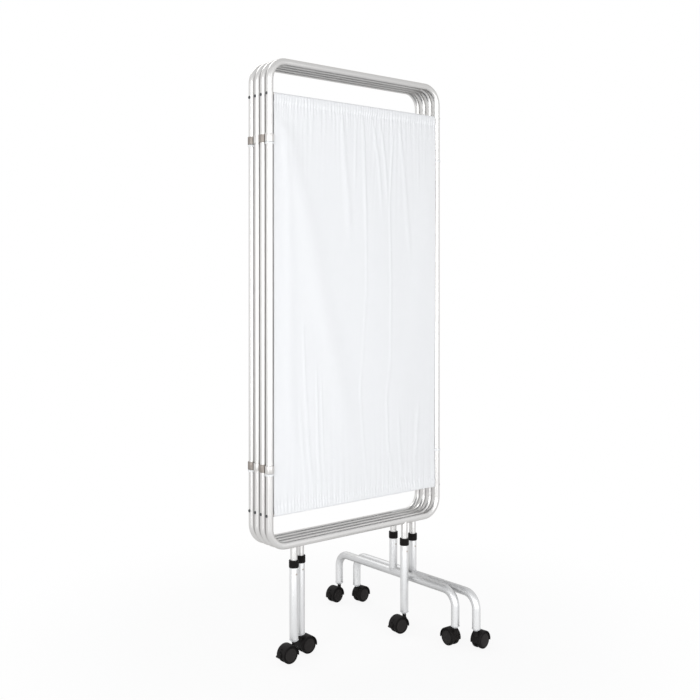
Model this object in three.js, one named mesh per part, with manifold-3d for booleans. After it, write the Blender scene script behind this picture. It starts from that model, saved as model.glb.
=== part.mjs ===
// Folding four-panel ward privacy screen on seven castors, shown folded. Millimetres, +Z up.
// Panels a, b, c and d stand one behind the other, a at the back and d at the front (-Y).
import * as THREE from 'three';
import { mergeVertices } from 'three/addons/utils/BufferGeometryUtils.js';
import Module from 'manifold-3d';

const wasm = await Module();
wasm.setup();

// Overall sizes
const postSpacing = 622;
const lowerRailHeight = 331;
const upperRailHeight = 1631;
const panelPitch = 27;
const frameTube = 20;
const frameBend = 52;

// Clearances
const seatGap = 0.3;
const turnGap = 0.3;
const cutOverrun = 2;
const sameCorner = 1e-4;

// Legs
const stubTube = 19.5;
const legTube = 24;
const legBottom = 60;
const stubShown = 57.5;
const stubAboveBar = 22.5;
const boreAboveBar = 3.5;
const legSocketDepth = 22;
const footLength = 525;
const footHeight = 155;
const footBend = 42;
const frontLegAcross = 177;
const footNesting = 29.5;
const rearLegAcross = -168;
const legNesting = 43;

// Twist collars that lock the legs
const collarDiameter = 27.4;
const collarLip = 4;
const collarSkirt = 16.5;
const collarGroove = 0.7;
const collarGrooveWidth = 1.6;
const collarRibs = 3;
const rivetBelowCollar = 17;
const rivetHead = 5;
const rivetHeadHeight = 1;
const rivetEdge = 0.3;
const rivetInWall = 1.2;

// Curtain rods, held in the posts by a round head at each end
const rodDiameter = 8;
const upperRodDrop = 90;
const lowerRodRise = 88;
const rodHead = 7;
const rodHeadHeight = 1.9;
const rodTenon = 4;

// Hinge clamps and stop rings
const clampWall = 2.4;
const clampHeight = 21;
const clampWeb = 13;
const upperClampDrop = 218;
const lowerClampRise = 200;
const ringDiameter = 24;
const ringHeight = 6;

// Curtains
const clothThickness = 1.2;
const clothSideGap = 4;
const clothHem = 16;
const hookSteps = 3;

// Castors
const wheelRadius = 24.5;
const wheelWidth = 12;
const wheelChamfer = 1.8;
const wheelSides = 14;
const axleDiameter = 6;
const webThickness = 6;
const castorTrail = 20;
const hoodRadius = 27;
const hoodWall = 1.7;
const hoodOverlap = 0.6;
const stemDiameter = 8;
const stemInSocket = 16;
const hoodStart = -Math.PI / 20;
const bossDiameter = 11;
const bushFlange = 26;
const bushTip = 13;
const bushCone = 5.6;
const bushBrim = 0.9;
const bushSpigot = 18;
const webHub = 9;
const brakeWidth = 14;
const brakeLength = 9;
const brakeRise = 9;
const brakeDrop = 3.5;
const brakeTip = 2.5;

// Facet counts
const tubeSides = 12;
const smallSides = 6;
const stemSides = 8;
const bendSteps = 5;
const hoodSteps = 8;

const panels = ['a', 'b', 'c', 'd'];
const panelY = { a: panelPitch, b: 0, c: -panelPitch, d: -2 * panelPitch };
const halfWidth = postSpacing / 2;
const legTop = lowerRailHeight - stubShown;
const legAcross = { d: frontLegAcross, c: rearLegAcross - legNesting, b: rearLegAcross };
const footAcross = { a: frontLegAcross + footNesting, c: frontLegAcross + 2 * footNesting };
const upperRodHeight = upperRailHeight - upperRodDrop;
const lowerRodHeight = lowerRailHeight + lowerRodRise;
const axleHeight = wheelRadius * Math.cos(Math.PI / wheelSides);

const model = new THREE.Group();

const finishes = {
  aluminium: { color: 0xc9cbcd, roughness: 0.38, metalness: 0.85 },
  cloth: { color: 0xf1f1ef, roughness: 0.9, metalness: 0 },
  black: { color: 0x1b1b1c, roughness: 0.5, metalness: 0 },
  pale: { color: 0xe9eaea, roughness: 0.45, metalness: 0 },
  steel: { color: 0x9d948a, roughness: 0.35, metalness: 0.9 },
};

function addPiece(name, geometry, finish) {
  const material = new THREE.MeshStandardMaterial({ ...finishes[finish], flatShading: true });
  const mesh = new THREE.Mesh(geometry, material);
  mesh.name = name;
  model.add(mesh);
  return mesh;
}

// A closed geometry with shared corners, no flat triangles and its faces pointing out
function closed(source) {
  let geometry = source.clone();
  geometry.deleteAttribute('normal');
  geometry.deleteAttribute('uv');
  geometry = mergeVertices(geometry, sameCorner);
  const old = geometry.getIndex().array;
  const place = geometry.getAttribute('position');
  const corner = [new THREE.Vector3(), new THREE.Vector3(), new THREE.Vector3()];
  const kept = [];
  let volume = 0;
  for (let i = 0; i < old.length; i += 3) {
    const [a, b, c] = [old[i], old[i + 1], old[i + 2]];
    if (a === b || b === c || c === a) continue;
    kept.push(a, b, c);
    corner[0].fromBufferAttribute(place, a);
    corner[1].fromBufferAttribute(place, b);
    corner[2].fromBufferAttribute(place, c);
    volume += corner[0].dot(corner[1].cross(corner[2]));
  }
  if (volume < 0) kept.reverse();
  geometry.setIndex(kept);
  return geometry;
}

function toSolid(source) {
  const geometry = closed(source);
  return new wasm.Manifold(new wasm.Mesh({
    numProp: 3,
    vertProperties: new Float32Array(geometry.getAttribute('position').array),
    triVerts: new Uint32Array(geometry.getIndex().array),
  }));
}

function toGeometry(solid) {
  const mesh = solid.getMesh();
  const geometry = new THREE.BufferGeometry();
  geometry.setAttribute('position', new THREE.BufferAttribute(mesh.vertProperties, 3));
  geometry.setIndex(new THREE.BufferAttribute(mesh.triVerts, 1));
  return geometry;
}

// Radius of a faceted bore that a round of the given radius can turn in
function runningBore(radius, sides = tubeSides) {
  return (radius + turnGap) / Math.cos(Math.PI / sides);
}

// Upright round bar from one height to another
function upright(radius, low, high, sides = tubeSides) {
  const bar = new THREE.CylinderGeometry(radius, radius, high - low, sides);
  bar.rotateX(Math.PI / 2);
  bar.translate(0, 0, (low + high) / 2);
  return bar;
}

// Turned piece about the Z axis from points [radius, height]
function turned(points, sides = tubeSides) {
  const geometry = new THREE.LatheGeometry(points.map(([r, h]) => new THREE.Vector2(r, h)), sides);
  geometry.rotateX(Math.PI / 2);
  return geometry;
}

// Turned ring whose profile closes on itself
function turnedRing(points, sides = tubeSides) {
  return turned([...points, points[0]], sides);
}

// Round tube through rings, each with its centre, the direction out of the bend and the flat side's normal
function sweep(rings, radius, sides, isLoop) {
  const position = [];
  const index = [];
  for (const { centre, out, side } of rings) {
    for (let k = 0; k < sides; k += 1) {
      const angle = (2 * Math.PI * k) / sides;
      const point = centre.clone();
      point.addScaledVector(out, radius * Math.cos(angle));
      point.addScaledVector(side, radius * Math.sin(angle));
      position.push(point.x, point.y, point.z);
    }
  }
  const spans = isLoop ? rings.length : rings.length - 1;
  for (let i = 0; i < spans; i += 1) {
    const next = (i + 1) % rings.length;
    for (let k = 0; k < sides; k += 1) {
      const turn = (k + 1) % sides;
      const [a, b] = [i * sides + k, i * sides + turn];
      const [c, d] = [next * sides + turn, next * sides + k];
      index.push(a, b, c, a, c, d);
    }
  }
  if (!isLoop) {
    const last = (rings.length - 1) * sides;
    for (let k = 1; k < sides - 1; k += 1) {
      index.push(0, k + 1, k, last, last + k, last + k + 1);
    }
  }
  const geometry = new THREE.BufferGeometry();
  geometry.setAttribute('position', new THREE.Float32BufferAttribute(position, 3));
  geometry.setIndex(index);
  return geometry;
}

// Quarter bend: ring centres round a middle point, from one angle to another, in the plane of u and v
function bendRings(middle, bend, from, to, u, v, side) {
  const rings = [];
  for (let i = 0; i <= bendSteps; i += 1) {
    const angle = from + ((to - from) * i) / bendSteps;
    const out = u.clone().multiplyScalar(Math.cos(angle)).addScaledVector(v, Math.sin(angle));
    rings.push({ centre: middle.clone().addScaledVector(out, bend), out, side });
  }
  return rings;
}

const axisX = new THREE.Vector3(1, 0, 0);
const axisY = new THREE.Vector3(0, 1, 0);
const axisZ = new THREE.Vector3(0, 0, 1);

// Rounded rectangular frame of one bent tube
function frameLoop(y) {
  const reach = halfWidth - frameBend;
  const corners = [
    [reach, lowerRailHeight + frameBend, -Math.PI / 2],
    [reach, upperRailHeight - frameBend, 0],
    [-reach, upperRailHeight - frameBend, Math.PI / 2],
    [-reach, lowerRailHeight + frameBend, Math.PI],
  ];
  const rings = corners.flatMap(([x, z, from]) => bendRings(
    new THREE.Vector3(x, y, z), frameBend, from, from + Math.PI / 2, axisX, axisZ, axisY,
  ));
  return sweep(rings, frameTube / 2, tubeSides, true);
}

const barTop = footHeight + legTube / 2;
const stubBottom = barTop + stubAboveBar;
const rodHeights = [upperRodHeight, lowerRodHeight];
const clampLows = { upper: upperRailHeight - upperClampDrop, lower: lowerRailHeight + lowerClampRise };

// Frame with its welded leg stubs, the stop rings on its posts and the cross holes for the rods
function panelFrame(y, stubs, ringSides) {
  let solid = toSolid(frameLoop(y));
  for (const x of stubs) {
    const stub = upright(stubTube / 2, stubBottom, lowerRailHeight);
    solid = solid.add(toSolid(stub.translate(x, y, 0)));
  }
  for (const side of ringSides) {
    for (const low of Object.values(clampLows)) {
      const top = low - seatGap;
      const ring = upright(ringDiameter / 2, top - ringHeight, top);
      solid = solid.add(toSolid(ring.translate(side * halfWidth, y, 0)));
    }
  }
  const holeLength = postSpacing + frameTube + 2 * cutOverrun;
  for (const height of rodHeights) {
    const holeRadius = runningBore(rodTenon / 2, smallSides);
    const hole = new THREE.CylinderGeometry(holeRadius, holeRadius, holeLength, smallSides);
    hole.rotateZ(Math.PI / 2);
    solid = solid.subtract(toSolid(hole.translate(0, y, height)));
  }
  return toGeometry(solid);
}

// Horizontal curtain rod: shoulders against the posts, a tenon through each and a head outside
function curtainRod(y, height) {
  const shoulder = halfWidth - frameTube / 2 - seatGap;
  const seat = halfWidth + frameTube / 2 + seatGap;
  const half = [
    [rodDiameter / 2, shoulder],
    [rodTenon / 2, shoulder],
    [rodTenon / 2, seat],
    [rodHead / 2, seat],
    [rodHead / 2, seat + rodHeadHeight / 2],
    [0, seat + rodHeadHeight],
  ];
  const otherHalf = half.map(([radius, place]) => [radius, -place]).reverse();
  const rod = turned([...otherHalf, ...half], smallSides);
  rod.rotateY(Math.PI / 2);
  return rod.translate(0, y, height);
}

// Middle line of the cloth: back hem, over the upper rod, down the front, under the lower rod, back hem
function clothLine() {
  const wrap = (rodDiameter / 2 + seatGap + clothThickness / 2) / Math.cos(Math.PI / (2 * hookSteps));
  const hook = (height, sign) => {
    const arc = [];
    for (let i = 0; i <= hookSteps; i += 1) {
      const angle = (Math.PI * i) / hookSteps;
      arc.push([sign * wrap * Math.cos(angle), height + sign * wrap * Math.sin(angle)]);
    }
    return arc;
  };
  return [
    [wrap, upperRodHeight - clothHem],
    ...hook(upperRodHeight, 1),
    ...hook(lowerRodHeight, -1),
    [wrap, lowerRodHeight + clothHem],
  ];
}

// Curtain: one flat sheet hooked over the upper rod and under the lower rod
function curtain(y) {
  const line = clothLine();
  const reach = halfWidth - frameTube / 2 - clothSideGap;
  const face = (sign) => line.map((point, k) => {
    const before = line[Math.max(k - 1, 0)];
    const after = line[Math.min(k + 1, line.length - 1)];
    const along = new THREE.Vector2(after[0] - before[0], after[1] - before[1]).normalize();
    const shift = (sign * clothThickness) / 2;
    return new THREE.Vector2(point[0] - along.y * shift, point[1] + along.x * shift);
  });
  const outline = new THREE.Shape([...face(1), ...face(-1).reverse()]);
  const sheet = new THREE.ExtrudeGeometry(outline, { depth: 2 * reach, bevelEnabled: false });
  sheet.translate(0, 0, -reach);
  sheet.applyMatrix4(new THREE.Matrix4().makeBasis(axisY, axisZ, axisX));
  return sheet.translate(0, y, 0);
}

// Clamp round two neighbouring posts: the post at holdY is gripped, the post at turnY turns in it
function hingeClamp(side, holdY, turnY, low) {
  const high = low + clampHeight;
  const outer = frameTube / 2 + clampWall;
  const middle = (holdY + turnY) / 2;
  const web = new THREE.BoxGeometry(clampWeb, panelPitch, clampHeight);
  let solid = toSolid(web.translate(0, middle, (low + high) / 2));
  for (const y of [holdY, turnY]) {
    solid = solid.add(toSolid(upright(outer, low, high).translate(0, y, 0)));
  }
  for (const y of [holdY, turnY]) {
    const bore = upright(runningBore(frameTube / 2), low - cutOverrun, high + cutOverrun);
    solid = solid.subtract(toSolid(bore.translate(0, y, 0)));
  }
  return toGeometry(solid).translate(side * halfWidth, 0, 0);
}

const stubBore = runningBore(stubTube / 2);

// Rivet head on the front of a leg tube, fixed in its wall
function rivet() {
  const seat = legTube / 2;
  const head = new THREE.LatheGeometry([
    [0, -seat - rivetHeadHeight],
    [rivetHead / 2, -seat - rivetEdge],
    [rivetHead / 2, rivetInWall - seat],
    [0, rivetInWall - seat],
  ].map(([r, h]) => new THREE.Vector2(r, h)), stemSides);
  return head.translate(0, 0, legTop - collarSkirt - rivetBelowCollar);
}

// Straight outer leg tube, open at both ends, with its rivet
function straightLeg(x, y) {
  const tube = toSolid(turnedRing([
    [stubBore, legBottom],
    [legTube / 2, legBottom],
    [legTube / 2, legTop],
    [stubBore, legTop],
  ]));
  return toGeometry(tube.add(toSolid(rivet()))).translate(x, y, 0);
}

// T-shaped foot: bar along Y with both ends bent down, a post in the middle, bores for stub and bushes
function tFoot(x, y) {
  const half = footLength / 2;
  const reach = half - footBend;
  const level = footHeight - footBend;
  const rings = [
    { centre: new THREE.Vector3(0, -half, legBottom), out: axisY.clone().negate(), side: axisX },
    ...bendRings(new THREE.Vector3(0, -reach, level), footBend, Math.PI, Math.PI / 2, axisY, axisZ, axisX),
    ...bendRings(new THREE.Vector3(0, reach, level), footBend, Math.PI / 2, 0, axisY, axisZ, axisX),
    { centre: new THREE.Vector3(0, half, legBottom), out: axisY, side: axisX },
  ];
  let solid = toSolid(sweep(rings, legTube / 2, tubeSides, false));
  solid = solid.add(toSolid(upright(legTube / 2, footHeight, legTop)));
  solid = solid.subtract(toSolid(upright(stubBore, barTop + boreAboveBar, legTop + cutOverrun)));
  for (const end of [-half, half]) {
    const bore = upright(stubBore, legBottom - cutOverrun, legBottom + legSocketDepth);
    solid = solid.subtract(toSolid(bore.translate(0, end, 0)));
  }
  return toGeometry(solid.add(toSolid(rivet()))).translate(x, y, 0);
}

// Ribbed twist collar: a lip round the stub, a skirt round the top of the outer tube
function collar(x, y) {
  const top = legTop + seatGap + collarLip;
  const foot = legTop - collarSkirt;
  const outer = collarDiameter / 2;
  const profile = [
    [runningBore(legTube / 2), foot],
    [outer - collarGroove, foot],
  ];
  const pitch = (top - foot) / collarRibs;
  for (let i = 0; i < collarRibs; i += 1) {
    const start = foot + i * pitch;
    profile.push([outer, start + collarGrooveWidth / 2]);
    profile.push([outer, start + pitch - collarGrooveWidth / 2]);
    profile.push([outer - collarGroove, start + pitch]);
  }
  profile.push([runningBore(stubTube / 2), top]);
  profile.push([runningBore(stubTube / 2), legTop + seatGap]);
  profile.push([runningBore(legTube / 2), legTop + seatGap]);
  return turnedRing(profile).translate(x, y, 0);
}

const bushBottom = legBottom - seatGap - bushBrim - bushCone;
const bossTop = bushBottom - seatGap;

// Pale bush in the end of a leg tube: spigot, brim and a cone that meets the castor
function castorBush(x, y) {
  const bore = runningBore(stemDiameter / 2, stemSides);
  const brim = legBottom - seatGap;
  const spigot = stubTube / 2;
  return turnedRing([
    [bore, bushBottom],
    [bushTip / 2, bushBottom],
    [bushFlange / 2, brim - bushBrim],
    [bushFlange / 2, brim],
    [spigot, brim],
    [spigot, brim + bushSpigot],
    [bore, brim + bushSpigot],
  ], stemSides).translate(x, y, 0);
}

// Flat outline in X and Z, given thickness along Y about y = 0
function plate(shape, thickness, curveSegments) {
  const geometry = new THREE.ExtrudeGeometry(shape, { depth: thickness, bevelEnabled: false, curveSegments });
  geometry.translate(0, 0, -thickness / 2);
  return geometry.rotateX(Math.PI / 2);
}

const hoodEnd = Math.PI - hoodStart;
const wheelInner = webThickness / 2 + 2 * turnGap;
const castorHalfWidth = wheelInner + wheelWidth;

// Castor body with its axle at the origin's X and Z, and the stem at +castorTrail along X
function castorBody() {
  const web = new THREE.Shape();
  web.absarc(0, 0, hoodRadius - hoodWall / 2, hoodStart, hoodEnd, false);
  web.absarc(0, 0, webHub, Math.PI, 2 * Math.PI, false);
  let solid = toSolid(plate(web, webThickness, hoodSteps));
  const hood = new THREE.Shape();
  hood.absarc(0, 0, hoodRadius, hoodStart, hoodEnd, false);
  hood.absarc(0, 0, hoodRadius - hoodWall, hoodEnd, hoodStart, true);
  solid = solid.add(toSolid(plate(hood, 2 * (castorHalfWidth + hoodOverlap), hoodSteps)));
  const boss = upright(bossDiameter / 2, wheelRadius / 2, bossTop - axleHeight, stemSides);
  let block = toSolid(boss.translate(castorTrail, 0, 0));
  const clear = new THREE.CylinderGeometry(
    hoodRadius - hoodWall / 2, hoodRadius - hoodWall / 2, bossDiameter, tubeSides,
  );
  for (const side of [-1, 1]) {
    const away = clear.clone().translate(0, side * (webThickness / 2 + bossDiameter / 2), 0);
    block = block.subtract(toSolid(away));
  }
  const stem = upright(
    stemDiameter / 2, bossTop - axleHeight - cutOverrun, legBottom + stemInSocket - axleHeight, stemSides,
  );
  solid = solid.add(block).add(toSolid(stem.translate(castorTrail, 0, 0)));
  const boreRadius = runningBore(axleDiameter / 2, stemSides);
  const bore = new THREE.CylinderGeometry(boreRadius, boreRadius, webThickness + cutOverrun, stemSides);
  return toGeometry(solid.subtract(toSolid(bore)));
}

// Both wheels of a castor on one axle, with a flat facet on the floor
function wheelPair() {
  const half = castorHalfWidth;
  const profile = [
    [0, -half],
    [wheelRadius - wheelChamfer, -half],
    [wheelRadius, -half + wheelChamfer],
    [wheelRadius, -wheelInner],
    [axleDiameter / 2, -wheelInner],
    [axleDiameter / 2, wheelInner],
    [wheelRadius, wheelInner],
    [wheelRadius, half - wheelChamfer],
    [wheelRadius - wheelChamfer, half],
    [0, half],
  ];
  const pair = new THREE.LatheGeometry(profile.map(([r, h]) => new THREE.Vector2(r, h)), wheelSides);
  return pair.rotateY(Math.PI / wheelSides);
}

// Brake pedal: a sloping tab against the hood's side that is away from the stem
function brakePedal() {
  const inner = -hoodRadius * Math.cos(hoodStart) - seatGap;
  const outer = -hoodRadius - brakeLength;
  const pedal = new THREE.Shape();
  pedal.moveTo(inner, -brakeDrop);
  pedal.lineTo(inner, brakeRise);
  pedal.lineTo(outer + brakeTip, brakeTip);
  pedal.lineTo(outer, 0);
  pedal.lineTo(outer, -brakeTip);
  pedal.closePath();
  return plate(pedal, brakeWidth, 1);
}

// Every castor: where its stem is, the direction in which it trails and whether it has a brake
const footHalf = footLength / 2;
const castors = [
  { name: 'leg_d', x: legAcross.d, y: panelY.d, trails: 174, brake: true },
  { name: 'leg_c', x: legAcross.c, y: panelY.c, trails: 180, brake: true },
  { name: 'leg_b', x: legAcross.b, y: panelY.b, trails: 0, brake: false },
  { name: 'foot_c_front', x: footAcross.c, y: panelY.c - footHalf, trails: 7, brake: false },
  { name: 'foot_c_rear', x: footAcross.c, y: panelY.c + footHalf, trails: 7, brake: false },
  { name: 'foot_a_front', x: footAcross.a, y: panelY.a - footHalf, trails: 88, brake: false },
  { name: 'foot_a_rear', x: footAcross.a, y: panelY.a + footHalf, trails: 187, brake: true },
];

// Panels: frame with stubs and rings, rods and curtain
const stubsOf = {
  a: [footAcross.a],
  b: [legAcross.b],
  c: [legAcross.c, footAcross.c],
  d: [legAcross.d],
};
const ringSidesOf = { a: [-1, 1], b: [1], c: [], d: [-1, 1] };
for (const panel of panels) {
  const y = panelY[panel];
  addPiece(`frame_${panel}`, panelFrame(y, stubsOf[panel], ringSidesOf[panel]), 'aluminium');
  addPiece(`upper_rod_${panel}`, closed(curtainRod(y, upperRodHeight)), 'steel');
  addPiece(`lower_rod_${panel}`, closed(curtainRod(y, lowerRodHeight)), 'steel');
  addPiece(`curtain_${panel}`, closed(curtain(y)), 'cloth');
}

// Hinges: a pair of clamps for each joint between panels
const hinges = [
  { name: 'ab', side: -1, hold: 'b', turn: 'a' },
  { name: 'bc', side: 1, hold: 'c', turn: 'b' },
  { name: 'cd', side: -1, hold: 'c', turn: 'd' },
];
for (const { name, side, hold, turn } of hinges) {
  const shape = (low) => hingeClamp(side, panelY[hold], panelY[turn], low);
  addPiece(`upper_clamp_${name}`, shape(clampLows.upper), 'aluminium');
  addPiece(`lower_clamp_${name}`, shape(clampLows.lower), 'aluminium');
}

// Leg tubes and feet with their collars
for (const [panel, x] of Object.entries(legAcross)) {
  addPiece(`leg_tube_${panel}`, straightLeg(x, panelY[panel]), 'aluminium');
  addPiece(`collar_leg_${panel}`, closed(collar(x, panelY[panel])), 'black');
}
for (const [panel, x] of Object.entries(footAcross)) {
  addPiece(`t_foot_${panel}`, tFoot(x, panelY[panel]), 'aluminium');
  addPiece(`collar_foot_${panel}`, closed(collar(x, panelY[panel])), 'black');
}

// Castors with their bushes, turned so that each trails the way it stands
const bodyShape = castorBody();
const wheelShape = closed(wheelPair());
const pedalShape = closed(brakePedal());
for (const { name, x, y, trails, brake } of castors) {
  addPiece(`castor_bush_${name}`, closed(castorBush(x, y)), 'pale');
  const direction = THREE.MathUtils.degToRad(trails);
  const place = (piece) => {
    piece.rotation.z = direction + Math.PI;
    piece.position.set(x + castorTrail * Math.cos(direction), y + castorTrail * Math.sin(direction), axleHeight);
  };
  place(addPiece(`castor_body_${name}`, bodyShape.clone(), 'black'));
  place(addPiece(`castor_wheels_${name}`, wheelShape.clone(), 'black'));
  if (brake) place(addPiece(`brake_pedal_${name}`, pedalShape.clone(), 'black'));
}

export default model;
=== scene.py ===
import math

import bmesh
import bpy
from mathutils import Matrix, Vector, noise


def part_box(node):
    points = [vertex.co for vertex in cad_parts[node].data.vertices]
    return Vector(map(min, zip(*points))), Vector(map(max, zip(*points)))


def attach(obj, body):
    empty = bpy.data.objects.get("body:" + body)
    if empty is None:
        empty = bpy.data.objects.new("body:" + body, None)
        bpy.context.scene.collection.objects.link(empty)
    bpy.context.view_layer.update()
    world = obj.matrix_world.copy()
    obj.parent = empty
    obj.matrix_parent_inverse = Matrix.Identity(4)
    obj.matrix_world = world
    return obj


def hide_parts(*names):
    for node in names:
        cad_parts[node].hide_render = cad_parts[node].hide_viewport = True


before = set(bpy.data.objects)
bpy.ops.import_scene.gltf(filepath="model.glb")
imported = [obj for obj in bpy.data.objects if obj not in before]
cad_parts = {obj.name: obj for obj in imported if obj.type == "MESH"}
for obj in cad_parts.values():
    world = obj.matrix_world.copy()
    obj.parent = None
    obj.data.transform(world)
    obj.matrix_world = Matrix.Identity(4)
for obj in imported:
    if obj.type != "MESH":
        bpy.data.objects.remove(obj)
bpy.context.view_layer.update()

bl_info = {
    "name": "Folding ward screen",
    "version": (1, 0, 0),
    "blender": (4, 5, 0),
    "location": "View3D > Sidebar > Ward screen",
    "description": "Finishes a folding ward privacy screen and sets up its stage",
    "category": "Object",
}

PANELS = "abcd"
LEGS = "bcd"
FEET = "ac"
LEVELS = ("upper", "lower")
HINGES = {"ab": "panel_b", "bc": "panel_c", "cd": "panel_c"}


def middle(node):
    """Middle of a CAD node's box."""
    low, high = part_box(node)
    return (low + high) / 2


# Places read from the frame
FRAME_LOW, FRAME_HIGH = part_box("frame_c")
TUBE_RADIUS = (FRAME_HIGH.y - FRAME_LOW.y) / 2
POST_X = FRAME_HIGH.x - TUBE_RADIUS
TOP_RAIL_Z = FRAME_HIGH.z - TUBE_RADIUS
STUB_FOOT_Z = FRAME_LOW.z
PANEL_Y = {panel: middle(f"upper_rod_{panel}").y for panel in PANELS}
ROD_Z = {level: middle(f"{level}_rod_c").z for level in LEVELS}
ROD_LOW, ROD_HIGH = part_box("upper_rod_c")
ROD_RADIUS = (ROD_HIGH.y - ROD_LOW.y) / 2
ROD_END_X = ROD_HIGH.x
CLAMP_Z = {level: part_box(f"{level}_clamp_cd")[0].z for level in LEVELS}
CLOTH_HALF_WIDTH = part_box("curtain_c")[1].x + 0.003
LEG_FOOT_Z, LEG_TOP_Z = (corner.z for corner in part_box("leg_tube_c"))
COLLAR_LOW, COLLAR_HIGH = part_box("collar_leg_c")
COLLAR_RADIUS = (COLLAR_HIGH.x - COLLAR_LOW.x) / 2
LEG_X = {panel: middle(f"collar_leg_{panel}").x for panel in LEGS}
FOOT_X = {panel: middle(f"collar_foot_{panel}").x for panel in FEET}
STUB_X = {"a": [FOOT_X["a"]], "b": [LEG_X["b"]], "c": [LEG_X["c"], FOOT_X["c"]], "d": [LEG_X["d"]]}
RING_SIDES = {"a": (-1, 1), "b": (1,), "c": (), "d": (-1, 1)}
CASTORS = ("leg_d", "leg_c", "leg_b", "foot_c_front", "foot_c_rear", "foot_a_front", "foot_a_rear")
BRAKED = ("leg_d", "leg_c", "foot_a_rear")
CLOTH_WRAP = ROD_RADIUS + 0.0009

# Gap between pieces that fit in or round each other
SEAT_GAP = 0.0003
# Steps in the rounding of an edge
EASE_STEPS = 3
# Which way the streaks of a finish run
ALONG_X, ALONG_Z, EVEN = (0.05, 1.0, 1.0), (1.0, 1.0, 0.05), (1.0, 1.0, 1.0)
# Tint of metal at a grazing angle
METAL_EDGE = (0.74, 0.72, 0.70, 1.0)
SKY = (0.97, 0.98, 1.0, 1.0)
PLAIN_WHITE = (1.0, 1.0, 1.0, 1.0)
# How far below its collar a rivet is
RIVET_DROP = 0.017
# Part of a tube's round that a label covers, and how far it stands out
LABEL_SPREAD = math.radians(110)
LABEL_LIFT = 0.0002
# How far from a rod its ruffles and gathers can be felt
GATHER_END = 0.45
# Pitch of the gathers
GATHER_PITCH = 0.021


def a_length(name, description, default):
    return bpy.props.FloatProperty(
        name=name, description=description, default=default, unit="LENGTH")


def a_colour(name, description, default):
    return bpy.props.FloatVectorProperty(
        name=name, description=description, default=default, subtype="COLOR")


def a_count(name, description, default):
    return bpy.props.IntProperty(name=name, description=description, default=default)


class TubeSettings(bpy.types.PropertyGroup):
    """Sizes of the bent tubes and what is fixed to them."""

    bend: a_length("Frame bend", "Radius of a frame corner's middle line", 0.052)
    rail: a_length("Lower rail", "Height of the lower rail's middle", 0.331)
    stub: a_length("Stub radius", "Radius of an upper leg tube", 0.00975)
    leg: a_length("Leg radius", "Radius of an outer leg tube", 0.012)
    foot_bend: a_length("Foot bend", "Radius of a foot end's middle line", 0.042)
    foot_height: a_length("Foot height", "Height of a foot bar's middle", 0.155)
    wall: a_length("Wall", "Wall of an outer leg tube", 0.0016)
    weld: a_length("Weld", "Radius of a weld bead", 0.0011)
    ring: a_length("Ring radius", "Radius of a stop ring", 0.012)
    ring_height: a_length("Ring height", "Height of a stop ring", 0.006)
    web: a_length("Web", "Half the width of the web between two clamp sleeves", 0.0102)
    screw: a_length("Screw radius", "Radius of a rod's screw head", 0.0042)
    rivet: a_length("Rivet radius", "Radius of a rivet head", 0.0026)
    sides: a_count("Sides", "Faces round a tube", 40)
    steps: a_count("Bend steps", "Steps in a quarter bend", 16)


class ClothSettings(bpy.types.PropertyGroup):
    """Sizes of the gathered curtains."""

    thickness: a_length("Thickness", "Thickness of the cloth", 0.0004)
    hem: a_length("Hem", "Depth of a rod pocket below the rod", 0.024)
    ruffle_depth: a_length("Ruffle depth", "Depth of the ruffles on the rod pockets", 0.00075)
    ruffle_pitch: a_length("Ruffle pitch", "Distance between ruffles", 0.0098)
    ruffle_reach: a_length("Ruffle reach", "How far the ruffles run past a pocket", 0.018)
    gather_depth: a_length(
        "Gather depth", "Depth of the gathers that hang from the pockets", 0.0006)
    gather_reach: a_length("Gather reach", "How far the gathers run into the curtain", 0.065)
    fold_share: bpy.props.FloatProperty(
        name="Fold share", description="Scale of all the hanging folds", default=0.66)
    columns: a_count("Columns", "Faces across a curtain", 400)
    rows: a_count("Rows", "Faces down the hanging part of a curtain", 84)
    thread: a_length("Thread", "Distance between threads of the weave", 0.0006)
    stitch: a_length("Stitch", "Distance between stitches", 0.0032)


class CastorSettings(bpy.types.PropertyGroup):
    """Sizes of the castors."""

    radius: a_length("Wheel radius", "Radius of a wheel", 0.0238)
    hood: a_length("Hood radius", "Outer radius of the hood", 0.027)
    hood_wall: a_length("Hood wall", "Wall of the hood", 0.0017)
    half_width: a_length("Half width", "Half the width over both wheels", 0.0156)
    web: a_length("Web", "Thickness of the web between the wheels", 0.006)
    boss: a_length("Boss radius", "Radius of the neck round the stem", 0.0055)
    stem: a_length("Stem radius", "Radius of the stem", 0.004)
    hood_span: bpy.props.FloatProperty(
        name="Hood end", description="Angle of a hood end above the axle", default=math.radians(-9),
        subtype="ANGLE")
    bush_tip: a_length("Bush tip", "Radius of a bush's lower end", 0.0065)
    pedal: a_length("Pedal", "How far a brake pedal stands out of the hood", 0.009)


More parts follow.
